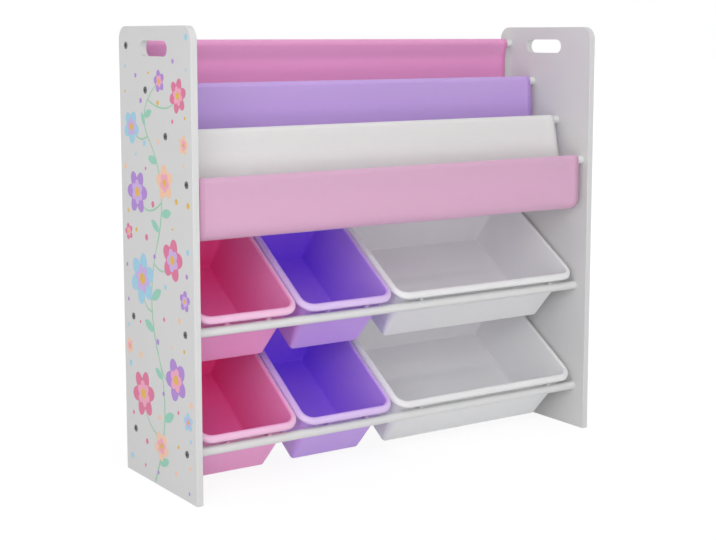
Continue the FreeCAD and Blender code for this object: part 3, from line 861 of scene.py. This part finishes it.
class Ink:
    """Shapes in one ink, each a thin closed solid. Across counts towards the rack's front, from the
    panel's middle."""

    def __init__(self, colour, level):
        self.colour = colour
        self.level = level
        self.mould = bmesh.new()

    def raise_faces(self, verts, place, lift=0.0):
        """Puts flat faces on the panel and gives them the ink's thickness."""
        bmesh.ops.transform(self.mould, matrix=Matrix.Translation((*place, -PRINT_ROOT)), verts=verts)
        faces = list({face for vert in verts for face in vert.link_faces})
        made = bmesh.ops.extrude_face_region(self.mould, geom=faces, use_keep_orig=True)
        bmesh.ops.translate(self.mould, verts=verts_of(made), vec=(0, 0, PRINT_ROOT + self.level + lift))

    def disc(self, place, radius, petals=0, notch=0.0, turn=0.0):
        """A dot, or a blossom whose edge draws in between its petals."""
        made = bmesh.ops.create_circle(self.mould, cap_ends=True, radius=radius,
                                       segments=DOT_SIDES + PETAL_SIDES * petals)
        for vert in made["verts"]:
            angle = math.atan2(vert.co.y, vert.co.x)
            vert.co *= 1 - notch * (1 - abs(math.cos(petals * (angle - turn) / 2)))
        self.raise_faces(made["verts"], place)

    def leaf(self, place, length, width, turn):
        """A leaf that grows from its place and is pointed at both ends."""
        made = bmesh.ops.create_circle(self.mould, cap_ends=True, segments=LEAF_SIDES, radius=1.0)
        for vert in made["verts"]:
            half = vert.co.y * math.sqrt(abs(vert.co.y))
            vert.co = ((vert.co.x + 1) * length / 2, half * width / 2, 0)
        bmesh.ops.rotate(self.mould, verts=made["verts"], cent=(0, 0, 0),
                         matrix=Matrix.Rotation(turn, 3, "Z"))
        self.raise_faces(made["verts"], place)

    def stem(self, start, bend, end, width, lift):
        """A curved ribbon that narrows to its end, lifted a little over the stems that it crosses."""
        start, bend, end = Vector(start), Vector(bend), Vector(end)
        made = bmesh.ops.create_grid(self.mould, x_segments=1, y_segments=STEM_STEPS, size=0.5)
        for vert in made["verts"]:
            share = vert.co.y + 0.5
            point = start.lerp(bend, share).lerp(bend.lerp(end, share), share)
            way = (bend - start).lerp(end - bend, share).normalized()
            point += Vector((way.y, -way.x)) * vert.co.x * width * (1 - STEM_TAPER * share)
            vert.co = (point.x, point.y, 0)
        self.raise_faces(made["verts"], (0, 0), lift)

    def print_on(self, panel, name):
        """Turns the finished shapes onto the panel's outer face."""
        low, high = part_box(panel)
        middle_y = (low.y + high.y) / 2
        to_panel = Matrix(((0, 0, -1, low.x), (-1, 0, 0, middle_y), (0, 1, 0, 0), (0, 0, 0, 1)))
        bmesh.ops.transform(self.mould, matrix=to_panel, verts=self.mould.verts)
        bmesh.ops.recalc_face_normals(self.mould, faces=self.mould.faces)
        finish = printing_ink(name + "_ink", self.colour)
        piece = make_piece(f"{panel}_print_{name}", self.mould, "frame", finish)
        piece.data.set_sharp_from_angle(angle=SHARP_TURN)


# The print, across and up on the panel. An ink has its colour and thickness, a blossom its two inks,
# place, radius, petals and turn, a stem its start, bend, tip and width, and a leaf its place, length
# and turn.

INKS = {
    "stem": ((158, 204, 176), 0.00008),
    "mint": ((150, 206, 186), 0.00012),
    "rose": ((222, 118, 156), 0.00016),
    "lilac": ((178, 136, 212), 0.00016),
    "sky": ((160, 208, 230), 0.00016),
    "peach": ((244, 200, 168), 0.00016),
    "rose_inner": ((240, 168, 194), 0.00022),
    "lilac_inner": ((206, 176, 228), 0.00022),
    "gold_middle": ((228, 184, 76), 0.00028),
}
DOT_INKS = ("rose", "lilac", "gold_middle", "sky", "peach")
BLOSSOMS = (
    ("rose", "rose", (-0.060, 0.150), 0.042, 6, 10),
    ("lilac", "rose", (0.064, 0.198), 0.037, 5, 40),
    ("sky", "lilac", (-0.056, 0.352), 0.045, 6, 20),
    ("rose", "lilac", (0.058, 0.398), 0.036, 5, 5),
    ("lilac", "lilac", (-0.070, 0.500), 0.038, 6, 0),
    ("peach", "rose", (0.034, 0.524), 0.030, 5, 25),
    ("sky", "lilac", (-0.088, 0.610), 0.029, 5, 60),
    ("rose", "rose", (0.086, 0.668), 0.029, 6, 15),
    ("lilac", "rose", (0.020, 0.690), 0.019, 5, 30),
    ("peach", "rose", (0.006, 0.072), 0.026, 5, 50),
    ("lilac", "lilac", (0.100, 0.336), 0.018, 5, 12),
    ("rose", "rose", (-0.106, 0.428), 0.015, 5, 35),
    ("sky", "lilac", (0.106, 0.136), 0.016, 5, 22),
    ("peach", "rose", (-0.112, 0.226), 0.014, 5, 44),
    ("peach", "rose", (0.104, 0.590), 0.016, 5, 8),
)
STEMS = (
    ((-0.020, 0.004), (0.050, 0.130), (0.000, 0.230), 0.0050),
    ((0.000, 0.230), (-0.045, 0.320), (0.004, 0.420), 0.0046),
    ((0.004, 0.420), (0.050, 0.520), (-0.020, 0.590), 0.0042),
    ((-0.020, 0.590), (-0.070, 0.640), (0.016, 0.688), 0.0036),
    ((0.008, 0.086), (-0.050, 0.090), (-0.060, 0.150), 0.0036),
    ((0.006, 0.218), (0.030, 0.170), (0.064, 0.198), 0.0036),
    ((-0.018, 0.300), (-0.060, 0.300), (-0.056, 0.352), 0.0036),
    ((-0.010, 0.384), (0.030, 0.360), (0.058, 0.398), 0.0036),
    ((0.022, 0.490), (-0.040, 0.450), (-0.070, 0.500), 0.0036),
    ((-0.026, 0.598), (-0.060, 0.580), (-0.088, 0.610), 0.0032),
    ((-0.024, 0.658), (0.050, 0.630), (0.086, 0.668), 0.0032),
)
LEAVES = (
    ((-0.001, 0.040), 0.036, 20), ((0.018, 0.120), 0.040, 25), ((0.014, 0.190), 0.030, 150),
    ((-0.014, 0.268), 0.038, 160), ((-0.021, 0.322), 0.040, 30), ((0.012, 0.440), 0.034, 150),
    ((0.020, 0.470), 0.036, 10), ((0.008, 0.556), 0.034, 170), ((-0.038, 0.630), 0.030, 20),
    ((-0.036, 0.614), 0.026, 120),
)

# Where no dot goes: the screws, and points along the hand slot, each with its reach
SCREW_PLACES = ((-0.104, 0.7475), (-0.032, 0.674), (0.040, 0.6005), (0.112, 0.527),
                (0.100, 0.2808), (0.100, 0.0808), (-0.094, 0.2808), (-0.094, 0.0808))
SCREW_REACH = 0.010
SLOT_PLACES = tuple((across / 1000, 0.743) for across in range(-40, 41, 10))
SLOT_REACH = 0.022


def blossom(inks, petal_ink, inner_ink, place, radius, petals, turn):
    """Two rings of petals and a round middle."""
    inks[petal_ink].disc(place, radius, petals, PETAL_NOTCH, turn)
    inks[inner_ink + "_inner"].disc(place, radius * INNER_SHARE, petals, INNER_NOTCH,
                                    turn + math.pi / petals)
    inks["gold_middle"].disc(place, radius * MIDDLE_SHARE)


def taken_places():
    """Round places on the panel that the dots keep clear of: their middles and reaches."""
    taken = [(Vector(place), radius) for _, _, place, radius, _, _ in BLOSSOMS]
    taken += [(Vector(place), SCREW_REACH) for place in SCREW_PLACES]
    taken += [(Vector(place), SLOT_REACH) for place in SLOT_PLACES]
    for place, length, turn in LEAVES:
        to_middle = Vector((length / 2, 0)) @ Matrix.Rotation(-math.radians(turn), 2)
        taken.append((Vector(place) + to_middle, length / 2))
    return taken


def scatter_dots(inks):
    """Small dots over the free parts of the panel."""
    chance = random.Random(DOT_SEED)
    taken = taken_places()
    dots = 0
    for _ in range(DOT_TRIES):
        place = Vector((chance.uniform(-DOT_ACROSS, DOT_ACROSS), chance.uniform(DOT_LOWEST, DOT_HIGHEST)))
        radius = chance.uniform(DOT_SMALLEST, DOT_LARGEST)
        if all((place - other).length > radius + reach + DOT_GAP for other, reach in taken):
            taken.append((place, radius + DOT_ROOM))
            dots += 1
            inks[DOT_INKS[dots % len(DOT_INKS)]].disc(place, radius)


def print_flowers(panel):
    """A climbing stem with leaves and blossoms, and dots around it."""
    inks = {name: Ink(linear(*colour), level) for name, (colour, level) in INKS.items()}
    for order, (start, bend, tip, width) in enumerate(STEMS):
        inks["stem"].stem(start, bend, tip, width, order * STEM_LIFT)
    for place, length, turn in LEAVES:
        inks["mint"].leaf(place, length, length * LEAF_SHARE, math.radians(turn))
    for petal_ink, inner_ink, place, radius, petals, turn in BLOSSOMS:
        blossom(inks, petal_ink, inner_ink, place, radius, petals, math.radians(turn))
    scatter_dots(inks)
    for name, ink in inks.items():
        ink.print_on(panel, name)


# The rack. A bin's colours are its outside, its inside, deeper as painted shade, and the edge of its rim,
# paler as a painted highlight.

BIN_COLOURS = {
    "pink": ((249, 168, 217), (252, 87, 164), (248, 196, 226)),
    "purple": ((208, 171, 249), (146, 92, 250), (222, 198, 248)),
    "white": ((242, 243, 244), (236, 234, 238), (236, 236, 236)),
}
# Slings 1 and 4 share one pink cloth: sling 1's deeper pink is painted shade and sling 4's paler pink a
# painted sheen.
CLOTHS = {
    1: ("pink_cloth_painted_shade", (234, 157, 203)),
    2: ("purple_cloth", (194, 162, 228)),
    3: ("white_cloth", (230, 229, 228)),
    4: ("pink_cloth_painted_sheen", (218, 172, 201)),
}


def build_frame():
    """Panels, tubes, screws and plugs."""
    board = lacquered_board("white_board", linear(215, 215, 215))
    coat = powder_coat("white_tube", linear(221, 222, 221))
    plating = dark_plating("dark_screw")
    nylon = plug_moulding("plug_nylon")
    for node in nodes:
        if node.endswith("_panel"):
            dress(node, board)
        elif node.endswith("_rail") or node.startswith("sling_rod"):
            steel_tube(node, coat)
        elif node.endswith("_screws"):
            dress(node, plating)
        elif node.endswith("_plugs"):
            dress(node, nylon)


def lay_bins():
    """Three bins on each pair of rails."""
    finishes = {colour: moulded_plastic(f"{colour}_bin_plastic", *(linear(*levels) for levels in three))
                for colour, three in BIN_COLOURS.items()}
    for row in ("upper", "lower"):
        for colour, finish in finishes.items():
            toy_bin(f"{row}_bin_{colour}", row, finish)


def hang_slings():
    """The four slings, back to front, each sewn to the one behind it."""
    behind = None
    for number, (node, lean) in SLINGS.items():
        low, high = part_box(node)
        name, colour = CLOTHS[number]
        path = SlingPath(number, lean)
        sling_cloth(number, path, behind, woven_cloth(name, linear(*colour), high.x - low.x))
        behind = path


# Studio. A lamp has its name, its place, how high up the rack's middle it aims, its size and its power.

FLOOR_HALF = 30.0
ROOM_LEVEL = 0.42
LAMPS = (
    ("front_high", (-0.9, -3.3, 1.7), 0.4, (2.8, 2.2), 16),
    ("front_left", (-2.4, -2.6, 1.9), 0.4, (2.4, 2.0), 39),
    ("front_low", (-0.5, -1.7, 0.03), 0.4, (2.8, 0.7), 6),
    ("left", (-3.2, 0.4, 1.3), 0.4, (2.0, 2.0), 8),
    ("right", (3.2, 0.2, 1.4), 0.4, (2.0, 2.0), 14),
    ("back", (0.4, 3.3, 1.6), 0.4, (2.8, 2.2), 10),
    ("overhead", (-0.2, -0.6, 3.2), 0.35, (3.0, 2.4), 20),
)


def area_lamp(name, place, aim_height, size, power):
    """A soft rectangular lamp that is itself out of sight."""
    lamp = bpy.data.lights.new(name, "AREA")
    lamp.shape = "RECTANGLE"
    lamp.size, lamp.size_y = size
    lamp.energy = power
    light = add_object(name, lamp)
    light.location = place
    light.visible_camera = False
    way = Vector((0, 0, aim_height)) - Vector(place)
    light.rotation_euler = way.to_track_quat("-Z", "Y").to_euler()


def make_floor():
    """A wide floor under the rack, as stage."""
    slab = bmesh.new()
    bmesh.ops.create_grid(slab, x_segments=1, y_segments=1, size=FLOOR_HALF)
    mesh = fill_mesh("studio_floor", slab)
    mesh.materials.append(studio_floor("studio_floor_white", near_share=0.84, near=0.42, far=0.9))
    floor = add_object("studio_floor", mesh)


def make_world(level):
    """An even white room: white where it is seen, at a plain level where it lights the rack."""
    world = bpy.data.worlds.new("studio")
    bpy.context.scene.world = world
    world.use_nodes = True
    background = world.node_tree.nodes["Background"]
    background.inputs["Color"].default_value = (1, 1, 1, 1)
    feed(background, "Strength", seen_directly(Socket(world.node_tree)) * (1.0 - level) + level)


def make_camera():
    """The photograph's view."""
    camera = add_object("camera", bpy.data.cameras.new("camera"))
    camera.data.sensor_width = SENSOR_WIDTH
    camera.data.lens = FOCAL_PIXELS / PICTURE_WIDTH * SENSOR_WIDTH
    camera.data.shift_y = SHIFT_PIXELS / PICTURE_WIDTH
    camera.location = CAMERA_PLACE
    camera.rotation_euler = (math.radians(90 - CAMERA_DOWN), 0, math.radians(CAMERA_TURN))
    bpy.context.scene.camera = camera


build_frame()
lay_bins()
hang_slings()
print_flowers("left_panel")
make_floor()
make_world(ROOM_LEVEL)
for lamp in LAMPS:
    area_lamp(*lamp)
make_camera()
bpy.context.scene.view_settings.view_transform = "Standard"
